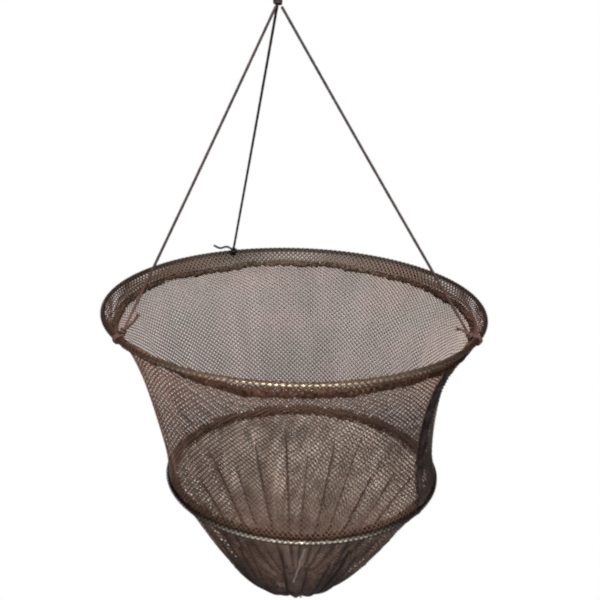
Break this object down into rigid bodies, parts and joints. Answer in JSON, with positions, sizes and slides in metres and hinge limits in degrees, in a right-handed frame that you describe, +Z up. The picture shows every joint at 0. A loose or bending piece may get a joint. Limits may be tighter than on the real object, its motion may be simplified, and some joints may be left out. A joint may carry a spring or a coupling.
{
  "type": "crab hoop net",
  "caption": "Drop net of brown diamond-mesh netting on a large upper hoop and a smaller lower hoop, with a pleated tied bag below and a cord bridle with a hanging loop above.",
  "frame": {"origin": "inside top of the hanging loop, where a hook or hauling line bears", "axes": "+Z up along the hang, -Y towards the side the picture shows, +X to the picture's right"},
  "size_m": [0.6088, 0.6088, 1.0777],
  "materials": {
    "steel_rod": "drawn rod with a slight golden tone",
    "folded_netting": "doubled twine netting, matt",
    "netting": "knotless twine mesh, matt",
    "dark_seam": "gathered twine, matt",
    "bridle_cord": "twisted cord, slightly fuzzy"
  },
  "bodies": {
    "bridle": {"hanging_loop": "bridle_cord", "bridle_knot": "bridle_cord", "bridle_leg_left": "bridle_cord", "bridle_leg_back": "bridle_cord", "bridle_leg_right": "bridle_cord"},
    "upper_ring": {"upper_hoop": "steel_rod", "hem": "folded_netting", "hem_stitch": "dark_seam", "side_netting": "netting", "side_seam": "dark_seam", "hitch_left": "bridle_cord", "hitch_back": "bridle_cord", "hitch_right": "bridle_cord"},
    "lower_ring": {"lower_hoop": "steel_rod", "lower_tuck": "folded_netting", "tuck_stitch": "dark_seam", "bag_netting": "netting", "bag_seam": "dark_seam"},
    "bag_end": {"gathered_end": "folded_netting", "gather_tie": "dark_seam"}
  },
  "joints": [
    {"name": "bridle_slack", "type": "slide", "parent": "bridle", "child": "upper_ring", "axis": [0, 0, 1], "range_m": [0, 0.4], "deforming": ["bridle_leg_left", "bridle_leg_back", "bridle_leg_right"]},
    {"name": "lower_hoop_lift", "type": "slide", "parent": "upper_ring", "child": "lower_ring", "axis": [0, 0, 1], "range_m": [0, 0.235], "deforming": ["side_netting", "side_seam"]},
    {"name": "bag_lift", "type": "slide", "parent": "lower_ring", "child": "bag_end", "axis": [0, 0, 1], "range_m": [0, 0.2], "deforming": ["bag_netting", "bag_seam"]}
  ]
}
